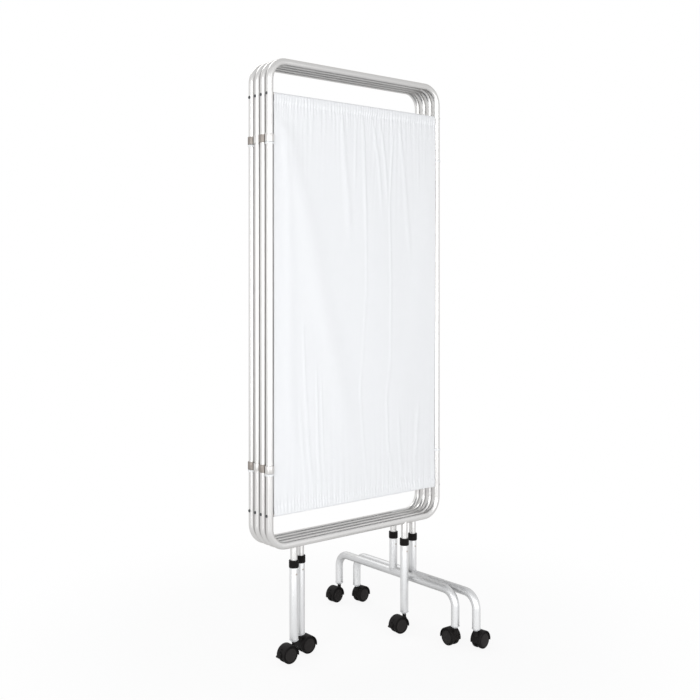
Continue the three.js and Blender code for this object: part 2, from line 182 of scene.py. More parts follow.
class ColourSettings(bpy.types.PropertyGroup):
    """Colours of the finishes."""

    metal: a_colour("Tube", "Satin aluminium tube", (0.68, 0.674, 0.668))
    leg: a_colour("Leg", "Pale satin tube of legs and feet", (0.745, 0.75, 0.757))
    clamp: a_colour("Clamp", "Hinge clamp metal", (0.62, 0.61, 0.60))
    # Painted shade: the back sleeve of each hinge clamp and the web beside it take this darker
    # colour, standing in for their duller reflection
    web: a_colour("Hinge web", "Duller cast metal between two clamp sleeves", (0.30, 0.275, 0.255))
    screw: a_colour("Screw", "Blackened screw head", (0.10, 0.105, 0.11))
    rivet: a_colour("Rivet", "Rivet head", (0.50, 0.45, 0.41))
    cloth: a_colour("Curtain", "White curtain cloth", (0.89, 0.90, 0.915))
    black: a_colour("Black plastic", "Collars and castor hoods", (0.0095, 0.0084, 0.0082))
    disc: a_colour("Wheel disc", "Worn black of the wheel discs", (0.0205, 0.0186, 0.0180))
    pale: a_colour("Pale plastic", "Rings and castor bushes", (0.82, 0.83, 0.84))
    label: a_colour("Blank label", "Plain foil label", (0.74, 0.74, 0.73))
    floor: a_colour("Floor", "Studio floor", (0.92, 0.92, 0.92))


class CameraSettings(bpy.types.PropertyGroup):
    """Camera at the photograph's viewpoint."""

    place: bpy.props.FloatVectorProperty(
        name="Place", description="Where the camera stands", default=(-1.7973, -2.1789, 1.0408),
        subtype="TRANSLATION", unit="LENGTH")
    yaw: bpy.props.FloatProperty(
        name="Yaw", description="Turn from +Y towards +X", default=math.radians(39.70),
        subtype="ANGLE")
    pitch: bpy.props.FloatProperty(
        name="Pitch", description="Tilt below the horizon", default=math.radians(0.13),
        subtype="ANGLE")
    lens: bpy.props.FloatProperty(
        name="Lens", description="Focal length in millimetres", default=50.04)
    shift: bpy.props.FloatProperty(
        name="Shift", description="Vertical shift as a share of the image", default=-0.0943)


def new_node(tree, kind, settings=None, inputs=None):
    """Adds a node, sets it up and fills its inputs with sockets or plain values."""
    made = tree.nodes.new(kind)
    for key, value in (settings or {}).items():
        setattr(made, key, value)
    for key, value in (inputs or {}).items():
        if isinstance(value, Value):
            value = value.socket
        if isinstance(value, bpy.types.NodeSocket):
            tree.links.new(value, made.inputs[key])
        else:
            made.inputs[key].default_value = value
    return made


class Value:
    """A socket of a finish. Sums on it add Math nodes to that finish."""

    def __init__(self, finish, socket):
        self.finish = finish
        self.socket = socket

    def work(self, operation, first, second):
        return self.finish.node("ShaderNodeMath", {"operation": operation}, {0: first, 1: second})

    def __add__(self, other):
        return self.work("ADD", self, other)

    def __mul__(self, other):
        return self.work("MULTIPLY", self, other)


class Finish:
    """A material made node by node."""

    def __init__(self, name):
        self.material = bpy.data.materials.new(name)
        self.material.use_nodes = True
        self.tree = self.material.node_tree
        self.tree.nodes.clear()

    def node(self, kind, settings=None, inputs=None, output=0):
        """Adds a node and gives one of its outputs."""
        return Value(self, new_node(self.tree, kind, settings, inputs).outputs[output])

    def place(self, stretch=EVEN):
        """Object coordinates, stretched along each axis."""
        where = self.node("ShaderNodeTexCoord", output="Object")
        return self.node("ShaderNodeMapping", None, {"Vector": where, "Scale": stretch})

    def height(self):
        """Height in Object coordinates."""
        where = self.node("ShaderNodeTexCoord", output="Object")
        return self.node("ShaderNodeSeparateXYZ", None, {"Vector": where}, output="Z")

    def grain(self, scale, detail=3.0, stretch=EVEN, where=None):
        """Noise from 0 to 1."""
        vector = where or self.place(stretch)
        inputs = {"Vector": vector, "Scale": scale, "Detail": detail}
        return self.node("ShaderNodeTexNoise", None, inputs, output="Fac")

    def step(self, value, low, high):
        """0 below low, 1 above high, smooth between."""
        return self.node("ShaderNodeMapRange", {"interpolation_type": "SMOOTHSTEP"},
                         {"Value": value, "From Min": low, "From Max": high})

    def blend(self, factor, first, second):
        """Mix of two colours."""
        mix_inputs = {0: factor, 6: rgba(first), 7: rgba(second)}
        return self.node("ShaderNodeMix", {"data_type": "RGBA"}, mix_inputs, output=2)

    def bump(self, height, strength, distance):
        return self.node("ShaderNodeBump", None,
                         {"Height": height, "Strength": strength, "Distance": distance})

    def surface(self, **values):
        """Closes the material with one shader."""
        inputs = {key.replace("_", " "): value for key, value in values.items()}
        self.close(self.node("ShaderNodeBsdfPrincipled", None, inputs))
        return self.material

    def close(self, shader):
        new_node(self.tree, "ShaderNodeOutputMaterial", None, {"Surface": shader})


def rgba(colour):
    """A colour with its alpha, or a socket as it is."""
    if isinstance(colour, Value):
        return colour
    return (*colour[:3], 1.0)


def darker(colour, share):
    """A share of a colour."""
    return tuple(part * share for part in colour)


def satin_metal(name, colour, roughness, streaks, shaded_bands=()):
    """Drawn and anodised tube: fine long streaks, faint cloudy wear and small handling marks.

    The bands in the last argument list (start, full, last, end, share): level tubes between these
    heights keep that share of the colour, as painted shade standing in for their darker
    reflections.
    """
    finish = Finish(name)
    drawn = finish.grain(60.0, 4.0, streaks)
    cloud = finish.grain(9.0, 2.0)
    marks = finish.step(finish.grain(85.0, 5.0), 0.62, 0.72)
    tint = finish.blend(cloud * 0.5 + drawn * 0.3, darker(colour, 0.94), colour)
    worn_and_shaded = finish.blend(marks * 0.2, tint, darker(colour, 0.82))
    # Painted shade: each band darkens the colour of the level tubes between its heights
    for start, full, last, end, share in shaded_bands:
        height = finish.height()
        level = finish.step(height, start, full) * finish.step(height, end, last)
        worn_and_shaded = finish.blend(level * (drawn * 0.3 + 0.8), worn_and_shaded, darker(colour, share))
    rough = drawn * 0.08 + cloud * 0.06 + marks * 0.04 + (roughness - 0.07)
    return finish.surface(Base_Color=worn_and_shaded, Metallic=1.0, Roughness=rough, Specular_Tint=METAL_EDGE,
                          Normal=finish.bump(drawn, 0.03, 0.0004))


def moulded_plastic(name, colour, roughness, lift, gloss=0.5):
    """Moulded plastic with a fine spark-eroded grain and dust in it."""
    finish = Finish(name)
    grain = finish.grain(1400.0, 2.0)
    dust = finish.step(finish.grain(40.0, 6.0), 0.48, 0.78)
    tint = finish.blend(dust * 0.5, colour, tuple(part + lift for part in colour))
    rough = grain * 0.12 + dust * 0.12 + roughness
    return finish.surface(Base_Color=tint, Roughness=rough, Specular_IOR_Level=gloss,
                          Normal=finish.bump(grain, 0.18, 0.0002))


def curtain_cloth(name, colour, thread):
    """Plain-woven white cloth: threads both ways, slubs and a soft sheen."""
    finish = Finish(name)
    where = finish.node("ShaderNodeUVMap", {"uv_map": "cloth"})
    across = finish.node("ShaderNodeSeparateXYZ", None, {"Vector": where})
    down = Value(finish, across.socket.node.outputs["Y"])
    turns = 2 * math.pi / thread
    warp = finish.node("ShaderNodeMath", {"operation": "SINE"}, {0: across * turns})
    weft = finish.node("ShaderNodeMath", {"operation": "SINE"}, {0: down * turns})
    weave = warp * weft * 0.5 + 0.5
    slub = finish.grain(260.0, 3.0, where=finish.node(
        "ShaderNodeMapping", None, {"Vector": where, "Scale": (1.0, 0.06, 1.0)}))
    cloud = finish.grain(6.0, 3.0)
    tint = finish.blend(slub * 0.5 + cloud * 0.4, darker(colour, 0.965), colour)
    height = weave * 0.6 + slub * 0.8
    return finish.surface(Base_Color=tint, Roughness=cloud * 0.1 + 0.72, Sheen_Weight=0.25,
                          Sheen_Roughness=0.4, Normal=finish.bump(height, 0.12, 0.0003))


def plain_label(name, colour):
    """Blank foil label with scuffed edges."""
    finish = Finish(name)
    scuff = finish.step(finish.grain(120.0, 5.0), 0.55, 0.75)
    tint = finish.blend(scuff * 0.5, colour, darker(colour, 0.9))
    return finish.surface(Base_Color=tint, Roughness=scuff * 0.2 + 0.35, Metallic=0.3)


def settings():
    return bpy.context.scene.ward_screen


def cosine_sine(turn):
    return math.cos(turn), math.sin(turn)


def turned(bm, profile, sides, place):
    """Adds a turned shape.

    The profile of (radius, height) runs from axis to axis, or closes on itself.
    """
    rings = []
    for radius, height in profile:
        if radius == 0:
            rings.append([bm.verts.new(place @ Vector((0.0, 0.0, height)))])
            continue
        ring = []
        for k in range(sides):
            c, s = cosine_sine(2 * math.pi * k / sides)
            ring.append(bm.verts.new(place @ Vector((radius * c, radius * s, height))))
        rings.append(ring)
    spans = list(zip(rings, rings[1:]))
    if len(rings[0]) > 1:
        spans.append((rings[-1], rings[0]))
    for low, high in spans:
        for k in range(sides):
            corners = [ring[n % len(ring)] for ring, n in
                       ((low, k), (low, k + 1), (high, k + 1), (high, k))]
            corners = list(dict.fromkeys(corners))
            if len(corners) > 2:
                bm.faces.new(corners)


def skin(bm, rims, ends=True):
    """Joins rims of equal length one after another, and closes the ends."""
    for low, high in zip(rims, rims[1:]):
        for k in range(len(low)):
            n = (k + 1) % len(low)
            bm.faces.new((low[k], low[n], high[n], high[k]))
    if ends:
        bm.faces.new(rims[0])
        bm.faces.new(rims[-1])


def swept(bm, points, radius, sides, side=None, closed=False):
    """Adds a round bar along points. side is the normal of a flat path."""
    count = len(points)
    rings = []
    for i, point in enumerate(points):
        before = points[(i - 1) % count] if closed or i else point
        after = points[(i + 1) % count] if closed or i < count - 1 else point
        along = (after - before).normalized()
        across = side or along.cross(Vector((0.0, 0.0, 1.0))).normalized()
        out = along.cross(across).normalized()
        ring = []
        for k in range(sides):
            c, s = cosine_sine(2 * math.pi * k / sides)
            ring.append(bm.verts.new(point + (out * c + across * s) * radius))
        rings.append(ring)
    skin(bm, rings + rings[:1] if closed else rings, not closed)


def arc_points(radius, start, end, steps, centre=(0.0, 0.0)):
    """Points of an arc round a centre."""
    turns = [start + (end - start) * i / steps for i in range(steps + 1)]
    return [(centre[0] + radius * math.cos(turn), centre[1] + radius * math.sin(turn))
            for turn in turns]


def rounded(radius, low, high, ease):
    """Profile of an upright bar from axis to axis with eased edges."""
    lower = arc_points(ease, -math.pi / 2, 0.0, EASE_STEPS, (radius - ease, low + ease))
    upper = arc_points(ease, 0.0, math.pi / 2, EASE_STEPS, (radius - ease, high - ease))
    return [(0, low), *lower, *upper, (0, high)]


def hollow(inner, outer, low, high, ease):
    """Closed profile of an upright ring with eased outer edges."""
    return [(inner, low), *rounded(outer, low, high, ease)[1:-1], (inner, high)]


def mesh_from(bm, name):
    """Plain mesh of built faces."""
    mesh = bpy.data.meshes.new(name)
    bm.to_mesh(mesh)
    bm.free()
    return mesh


def new_object(name, data):
    """Object of some data, linked to the scene."""
    made = bpy.data.objects.new(name, data)
    bpy.context.scene.collection.objects.link(made)
    return made


def add_piece(name, bm, material, body, sharp=40):
    """Turns built faces into a piece that rides on a CAD body."""
    bmesh.ops.recalc_face_normals(bm, faces=bm.faces)
    return add_mesh(name, mesh_from(bm, name), material, body, sharp)


def add_mesh(name, mesh, material, body, sharp=40):
    """Makes a smooth piece on a CAD body. Edges over the sharp angle stay sharp."""
    mesh.materials.clear()
    mesh.materials.append(material)
    mesh.shade_smooth()
    mesh.set_sharp_from_angle(angle=math.radians(sharp))
    piece = new_object(name, mesh)
    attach(piece, body)
    return piece


class Nodes:
    """A geometry node tree with named inputs, run once to make a plain mesh.

    asked lists the (name, kind, value) of each input.
    """

    def __init__(self, name, *asked):
        self.tree = bpy.data.node_groups.new(name, "GeometryNodeTree")
        interface = self.tree.interface
        for way in ("INPUT", "OUTPUT"):
            interface.new_socket("Geometry", in_out=way, socket_type="NodeSocketGeometry")
        self.values = {}
        for label, kind, value in asked:
            socket = interface.new_socket(label, in_out="INPUT", socket_type=f"NodeSocket{kind}")
            self.values[socket.identifier] = value
        outputs = self.tree.nodes.new("NodeGroupInput").outputs
        self.source = outputs["Geometry"]
        self.asked = [outputs[label] for label, _, _ in asked]

    def node(self, kind, settings=None, inputs=None, output=0):
        """Adds a node and gives one of its outputs."""
        return new_node(self.tree, kind, settings, inputs).outputs[output]

    def result(self, geometry, material, source=None):
        """Ends the tree, runs it on the source mesh and gives the mesh that it makes."""
        real = self.node("GeometryNodeRealizeInstances", None, {0: geometry})
        painted = self.node("GeometryNodeSetMaterial", None, {
            "Geometry": real, "Material": material})
        new_node(self.tree, "NodeGroupOutput", None, {0: painted})
        holder = new_object(self.tree.name, source or bpy.data.meshes.new(self.tree.name))
        modifier = holder.modifiers.new(self.tree.name, "NODES")
        modifier.node_group = self.tree
        for identifier, value in self.values.items():
            modifier[identifier] = value
        graph = bpy.context.evaluated_depsgraph_get()
        mesh = bpy.data.meshes.new_from_object(holder.evaluated_get(graph), depsgraph=graph)
        holder.modifiers.clear()
        bpy.data.objects.remove(holder)
        return mesh


def join_sockets(nodes, *parts):
    """Joins geometry sockets."""
    joint = nodes.tree.nodes.new("GeometryNodeJoinGeometry")
    for part in parts:
        nodes.tree.links.new(part, joint.inputs[0])
    return joint.outputs[0]


def bent_frame(panel, material):
    """Rounded rectangle of bent tube, made with geometry nodes."""
    tube = settings().tube
    height = TOP_RAIL_Z - tube.rail
    nodes = Nodes(
        f"bent_frame_{panel}", ("Width", "Float", 2 * POST_X), ("Height", "Float", height),
        ("Bend", "Float", tube.bend), ("Tube radius", "Float", TUBE_RADIUS),
        ("Bend steps", "Int", tube.steps), ("Sides", "Int", tube.sides),
        ("Place", "Vector", (0.0, PANEL_Y[panel], tube.rail + height / 2)))
    width, tall, bend, radius, steps, sides, place = nodes.asked
    flat = nodes.node("GeometryNodeCurvePrimitiveQuadrilateral", None, {
        "Width": width, "Height": tall})
    corners = nodes.node("GeometryNodeFilletCurve", {"mode": "POLY"},
                         {"Curve": flat, "Radius": bend, "Count": steps})
    section = nodes.node("GeometryNodeCurvePrimitiveCircle", None, {
        "Resolution": sides, "Radius": radius})
    tube_mesh = nodes.node("GeometryNodeCurveToMesh", None, {
        "Curve": corners, "Profile Curve": section})
    stood = nodes.node("GeometryNodeTransform", None, {
        "Geometry": tube_mesh, "Translation": place, "Rotation": (math.pi / 2, 0.0, 0.0)})
    return nodes.result(stood, material)


def upright(x, panel):
    """Matrix for an upright piece at a place along a panel."""
    return Matrix.Translation((x, PANEL_Y[panel], 0.0))


def weld_loop(bm, centre, post_radius, rail_radius, side, along_x):
    """Weld bead where an upright tube meets a level one: side is -1 below it and 1 above it."""
    points = []
    steps = 36
    for k in range(steps):
        c, s = cosine_sine(2 * math.pi * k / steps)
        off = post_radius * (s if along_x else c)
        rise = side * math.sqrt(max(rail_radius ** 2 - off ** 2, 0.0))
        points.append(centre + Vector((post_radius * c, post_radius * s, rise)))
    swept(bm, points, settings().tube.weld, 8, closed=True)


class WARD_OT_frames(bpy.types.Operator):
    """Makes the four bent frames with their welded leg stubs"""

    bl_idname = "ward_screen.frames"
    bl_label = "Frames"

    def execute(self, context):
        tube = settings().tube
        colours = settings().colours
        top = TOP_RAIL_Z
        # The top rails get painted shade, a darker colour standing in for their darker reflections,
        # which fades in down their bends
        shaded_rails = ((top - 0.045, top - 0.010, top + 0.1, top + 0.2, 0.86),)
        metal = satin_metal("satin_aluminium", colours.metal, 0.36, ALONG_Z, shaded_rails)
        for panel in PANELS:
            body = f"panel_{panel}"
            bent = bent_frame(panel, metal)
            loop = add_mesh(f"bent_tube_{panel}", bent, metal, body, 80)
            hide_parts(f"frame_{panel}")
            bm = bmesh.new()
            for x in STUB_X[panel]:
                stub = rounded(tube.stub, STUB_FOOT_Z, tube.rail, 0.0008)
                turned(bm, stub, tube.sides, upright(x, panel))
            add_piece(f"leg_stubs_{panel}", bm, metal, body)
            bm = bmesh.new()
            for x in STUB_X[panel]:
                centre = Vector((x, PANEL_Y[panel], tube.rail))
                weld_loop(bm, centre, tube.stub, TUBE_RADIUS, -1, True)
            add_piece(f"stub_welds_{panel}", bm, metal, body, 80)
        return {"FINISHED"}


class WARD_OT_rings(bpy.types.Operator):
    """Makes the pale stop rings under the hinge clamps"""

    bl_idname = "ward_screen.rings"
    bl_label = "Stop rings"

    def execute(self, context):
        tube = settings().tube
        pale = moulded_plastic("pale_plastic", settings().colours.pale, 0.28, 0.03)
        for panel, sides in RING_SIDES.items():
            if not sides:
                continue
            bm = bmesh.new()
            for side in sides:
                for level in LEVELS:
                    top = CLAMP_Z[level] - SEAT_GAP
                    low = top - tube.ring_height
                    profile = hollow(TUBE_RADIUS - 0.0005, tube.ring, low, top, 0.0012)
                    turned(bm, profile, tube.sides, upright(side * POST_X, panel))
            add_piece(f"stop_rings_{panel}", bm, pale, f"panel_{panel}")
        return {"FINISHED"}


def screw_head_mesh(radius, height):
    """Pan head with a small round recess, along +X from the origin."""
    bm = bmesh.new()
    sunk, edge = -0.0004, 0.35
    dome = [(0, sunk), (radius, sunk)]
    for c, s in arc_points(1.0, 0.0, math.pi / 2, 6)[1:6]:
        dome.append((radius * c, height * (edge + (1 - edge) * s)))
    dome += [(radius * 0.26, height), (radius * 0.12, height * 0.4), (0, height * edge)]
    turned(bm, dome, 24, Matrix.Rotation(math.pi / 2, 4, "Y"))
    bmesh.ops.recalc_face_normals(bm, faces=bm.faces)
    return mesh_from(bm, "screw_head")


def screws_on_posts(panel, material):
    """Four screw heads on the outsides of a panel's posts, made with geometry nodes."""
    outside = POST_X + TUBE_RADIUS
    helper = new_object("screw_head", screw_head_mesh(settings().tube.screw, ROD_END_X - outside))
    nodes = Nodes(
        f"rod_screws_{panel}", ("Head", "Object", helper),
        ("Lowest", "Vector", (outside, 0.0, ROD_Z["lower"])),
        ("Rise", "Vector", (0.0, 0.0, ROD_Z["upper"] - ROD_Z["lower"])),
        ("Plane", "Vector", (0.0, PANEL_Y[panel], 0.0)))
    head, lowest, rise, plane = nodes.asked
    shape = nodes.node("GeometryNodeObjectInfo", None, {"Object": head}, output="Geometry")
    line = nodes.node("GeometryNodeMeshLine", None, {
        "Count": 2, "Start Location": lowest, "Offset": rise})
    right = nodes.node("GeometryNodeInstanceOnPoints", None, {"Points": line, "Instance": shape})
    left = nodes.node("GeometryNodeTransform", None, {
        "Geometry": right, "Rotation": (0.0, 0.0, math.pi)})
    both = nodes.node("GeometryNodeTransform", None, {
        "Geometry": join_sockets(nodes, right, left), "Translation": plane})
    mesh = nodes.result(both, material)
    bpy.data.objects.remove(helper)
    return mesh


class WARD_OT_rods(bpy.types.Operator):
    """Makes the curtain rods and their screws"""

    bl_idname = "ward_screen.rods"
    bl_label = "Curtain rods"

    def execute(self, context):
        colours = settings().colours
        steel = satin_metal("drawn_steel", colours.rivet, 0.35, ALONG_X)
        dark = satin_metal("dark_screw", colours.screw, 0.30, EVEN)
        shoulder = POST_X - TUBE_RADIUS * 0.9
        for panel in PANELS:
            bm = bmesh.new()
            for level in LEVELS:
                place = Matrix.Translation((0.0, PANEL_Y[panel], ROD_Z[level]))
                turned(bm, rounded(ROD_RADIUS, -shoulder, shoulder, 0.0004), 20,
                       place @ Matrix.Rotation(math.pi / 2, 4, "Y"))
            rods = add_piece(f"rods_{panel}", bm, steel, f"panel_{panel}")
            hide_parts(f"upper_rod_{panel}", f"lower_rod_{panel}")
            heads = screws_on_posts(panel, dark)
            add_mesh(f"rod_screws_{panel}", heads, dark, f"panel_{panel}")
        return {"FINISHED"}


class WARD_OT_clamps(bpy.types.Operator):
    """Makes the hinge clamps"""

    bl_idname = "ward_screen.clamps"
    bl_label = "Hinge clamps"

    def execute(self, context):
        metal = satin_metal("clamp_metal", settings().colours.clamp, 0.34, EVEN)
        # The sleeve on the +Y side and the web between the sleeves are coloured darker than the
        # front sleeve: painted shade standing in for their duller reflection
        painted_shade = satin_metal("cast_web", settings().colours.web, 0.5, EVEN)
        for name, body in HINGES.items():
            for level in LEVELS:
                low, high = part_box(f"{level}_clamp_{name}")
                outer = (high.x - low.x) / 2
                side_x = (high.x + low.x) / 2
                sleeve = hollow(TUBE_RADIUS + SEAT_GAP, outer, low.z, high.z, 0.0008)
                bm = bmesh.new()
                turned(bm, sleeve, 48, Matrix.Translation((side_x, low.y + outer, 0.0)))
                clamp = add_piece(f"{level}_hinge_clamp_{name}", bm, metal, body, 30)
                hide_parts(f"{level}_clamp_{name}")
                bm = bmesh.new()
                turned(bm, sleeve, 48, Matrix.Translation((side_x, high.y - outer, 0.0)))
                self.add_web(bm, side_x, low, high, outer)
                add_piece(f"{level}_hinge_web_{name}", bm, painted_shade, body, 30)
        return {"FINISHED"}

    @staticmethod
    def add_web(bm, side_x, low, high, outer):
        """Solid web between the two sleeves, waisted a little."""
        half = settings().tube.web
        reach = (high.y - low.y) / 2 - 2 * outer + 0.0016
        centre = (low.y + high.y) / 2
        outline = []
        for sx, shape in ((1, (-1, 0, 1)), (-1, (1, 0, -1))):
            for t in shape:
                waist = 1.0 if t else 0.82
                outline.append((side_x + sx * half * waist, centre + t * reach))
        inset = 0.0009
        rims = [[bm.verts.new((x, y, z)) for x, y in outline]
                for z in (low.z + inset, high.z - inset)]
        skin(bm, rims)


# How far the folds of each curtain are moved across. Those of curtains a and c are mirrored too
FOLD_SHIFT = {"a": 0.021, "b": -0.034, "c": 0.012, "d": 0.0}
# Hanging folds of a curtain: depth, width, and (height, across) points from the top downwards
FOLDS = (
    (0.0040, 0.030, ((1.49, -0.292), (1.43, -0.253), (1.33, -0.226), (1.20, -0.185), (1.03, -0.151),
                     (0.85, -0.101), (0.71, -0.065), (0.56, -0.036))),
    (0.0022, 0.015, ((1.43, -0.265), (1.25, -0.250), (1.03, -0.246), (0.78, -0.246),
                     (0.54, -0.234))),
    (0.0011, 0.006, ((0.72, -0.215), (0.56, -0.202), (0.44, -0.188))),
    (0.0013, 0.005, ((0.93, -0.203), (0.77, -0.196), (0.61, -0.185), (0.43, -0.167))),
    (0.0013, 0.005, ((0.82, -0.157), (0.66, -0.154), (0.55, -0.151), (0.43, -0.135))),
    (0.0007, 0.004, ((0.79, -0.141), (0.60, -0.135), (0.45, -0.126))),
    (0.0009, 0.004, ((1.50, 0.015), (1.26, 0.022), (1.03, 0.025), (0.85, 0.012), (0.73, 0.001),
                     (0.62, 0.009), (0.47, 0.024), (0.43, 0.045))),
    (0.0012, 0.004, ((1.52, 0.134), (1.38, 0.120), (1.27, 0.114), (1.03, 0.119), (0.81, 0.117),
                     (0.70, 0.101), (0.58, 0.105), (0.49, 0.120), (0.43, 0.146))),
    (0.0024, 0.011, ((1.53, -0.070), (1.40, -0.058), (1.26, -0.043), (1.12, -0.034))),
    (0.0012, 0.005, ((1.53, -0.014), (1.36, -0.018), (1.27, -0.019))),
    (0.0016, 0.006, ((1.53, 0.009), (1.35, 0.016), (1.16, 0.023))),
    (0.0017, 0.006, ((1.53, 0.044), (1.37, 0.073), (1.22, 0.087))),
    (0.0017, 0.006, ((1.53, 0.073), (1.38, 0.097), (1.22, 0.112))),
    (0.0018, 0.007, ((1.53, 0.148), (1.39, 0.168), (1.27, 0.181), (1.08, 0.200))),
    (0.0008, 0.005, ((1.53, 0.226), (1.27, 0.230))),
    (0.0008, 0.005, ((1.53, 0.255), (1.30, 0.253))),
    (0.0008, 0.005, ((1.53, -0.199), (1.38, -0.196))),
    (0.0008, 0.005, ((1.53, -0.172), (1.38, -0.175))),
    (0.0008, 0.005, ((1.53, -0.144), (1.37, -0.140))),
    (0.0013, 0.007, ((0.66, 0.147), (0.51, 0.156), (0.43, 0.178))),
    (0.0015, 0.008, ((0.70, 0.231), (0.54, 0.222), (0.46, 0.193))),
    (0.0020, 0.034, ((1.10, 0.235), (0.90, 0.215), (0.70, 0.165), (0.56, 0.150))),
    (0.0018, 0.040, ((1.36, 0.275), (1.10, 0.262), (0.80, 0.268), (0.50, 0.262))),
)


def folds_at(z, panel):
    """Where each hanging fold is at a height, with its width and depth there."""
    side = 1 if panel in "bd" else -1
    found = []
    for depth, width, path in FOLDS:
        top, low = path[0][0], path[-1][0]
        if not low < z < top:
            continue
        for (z0, x0), (z1, x1) in zip(path, path[1:]):
            if z1 <= z <= z0:
                part = (z0 - z) / (z0 - z1)
                ease = part * part * (3 - 2 * part) * 0.35 + part * 0.65
                across = x0 + (x1 - x0) * ease
                break
        fade = min((top - z) / 0.05, (z - low) / 0.11, 1.0)
        fade = fade * fade * (3 - 2 * fade)
        spread = width * (0.75 + 0.5 * min((top - z) / 0.4, 1.0))
        height = depth * fade * settings().cloth.fold_share
        found.append((side * across + FOLD_SHIFT[panel], spread, height))
    return found


def ruffles(x, away, rod_z, number):
    """Fine regular ruffles on a rod pocket that fade out past its seam."""
    cloth = settings().cloth
    lean = 0.25 * noise.noise(Vector((x * 9.0, rod_z * 7.0, number))) * away
    warp = noise.noise(Vector(((x + lean) * 13.0, number * 5.0 + rod_z, 0.0)))
    turn = 2 * math.pi * (x + lean) / cloth.ruffle_pitch + warp * 5.5
    local = 0.62 + 0.55 * noise.noise(Vector((x * 24.0, rod_z * 3.0, number)))
    past = max(away - cloth.hem, 0.0)
    return cloth.ruffle_depth * math.sin(turn) * local * math.exp(-past / cloth.ruffle_reach)


def gathers(x, away, rod_z, number):
    """Uneven gathers that hang from a pocket, wider as they run into the curtain."""
    cloth = settings().cloth
    warp = noise.noise(Vector((x * 11.0, number * 3.0 + away * 2.2, rod_z)))
    turn = 2 * math.pi * x / GATHER_PITCH + warp * 9.0
    spread = abs(noise.noise(Vector((x * 26.0, number, rod_z + 3.0))))
    lasting = cloth.gather_reach * (0.5 + 2.0 * spread)
    return (cloth.gather_depth * math.sin(turn) * math.exp(-away / lasting)
            * min(away / cloth.hem, 1.0))


def row_share(part):
    """Rows closer together near the rods, where the ruffles are."""
    return part - 0.11 * math.sin(2 * math.pi * part)


def curtain_section():
    """Middle line of the cloth: back hem, over the rod, down the front, under the rod and up again.

    Gives (y, z, whether it is the front) for each row.
    """
    cloth = settings().cloth
    wrap = CLOTH_WRAP
    top, low = ROD_Z["upper"], ROD_Z["lower"]
    drop = top - low
    hem = [(wrap * (0.5 + 0.5 * min(i / 3, 1.0)), cloth.hem * (1 - i / 6)) for i in range(6)]
    over = [(y, top - z) for y, z in hem] + arc_points(wrap, 0.0, math.pi, 8, (0.0, top))
    face = [(-wrap, top - drop * row_share(i / cloth.rows)) for i in range(1, cloth.rows)]
    under = arc_points(wrap, math.pi, 2 * math.pi, 8, (0.0, low))
    under += [(y, low + z) for y, z in reversed(hem)]
    return [(*point, part is face) for part in (over, face, under) for point in part]


def cloth_depth(x, z, front, number, folds):
    """How far the cloth stands back from its plain line. Folds come forward, towards -Y."""
    cloth = settings().cloth
    depth = 0.0
    for rod_z in ROD_Z.values():
        away = abs(z - rod_z)
        if away < GATHER_END:
            depth += ruffles(x, away, rod_z, number) * (1.0 if front else 0.5)
            if front:
                depth += gathers(x, away, rod_z, number)
    if front:
        for across, width, height in folds:
            off = (x - across) / width
            if abs(off) < 3.0:
                depth -= height * math.exp(-off * off)
        hang = min(ROD_Z["upper"] - z, z - ROD_Z["lower"])
        depth += 0.0016 * math.exp(-((hang - cloth.hem) / 0.0030) ** 2)
        depth -= 0.0010 * math.exp(-((hang - cloth.hem * 0.5) / 0.008) ** 2)
        cloud = noise.noise(Vector((x * 5.0 + z * 1.5, z * 1.6 - x, number * 2.0)))
        depth += 0.0022 * cloud * min(max((hang - cloth.hem) / 0.1, 0.0), 1.0)
    return depth


def curtain_mesh(panel, number):
    """Mesh of a curtain with its weave's UV, and its length from hem to hem."""
    cloth = settings().cloth
    line = curtain_section()
    uv_down = [0.0]
    for (y0, z0, _), (y1, z1, _) in zip(line, line[1:]):
        uv_down.append(uv_down[-1] + math.hypot(y1 - y0, z1 - z0))
    bm = bmesh.new()
    uv = bm.loops.layers.uv.new("cloth")
    grid = [[] for _ in range(cloth.columns + 1)]
    for y, z, front in line:
        folds = folds_at(z, panel)
        for i, column in enumerate(grid):
            x = CLOTH_HALF_WIDTH * (2 * i / cloth.columns - 1)
            depth = cloth_depth(x, z, front, number, folds)
            column.append(bm.verts.new((x, PANEL_Y[panel] + y + depth, z)))
    for i in range(cloth.columns):
        for j in range(len(line) - 1):
            face = bm.faces.new((grid[i][j], grid[i][j + 1], grid[i + 1][j + 1], grid[i + 1][j]))
            for loop, (u, v) in zip(face.loops, ((i, j), (i, j + 1), (i + 1, j + 1), (i + 1, j))):
                loop[uv].uv = (u * 2 * CLOTH_HALF_WIDTH / cloth.columns, uv_down[v])
    return mesh_from(bm, f"curtain_cloth_{panel}"), uv_down[-1]


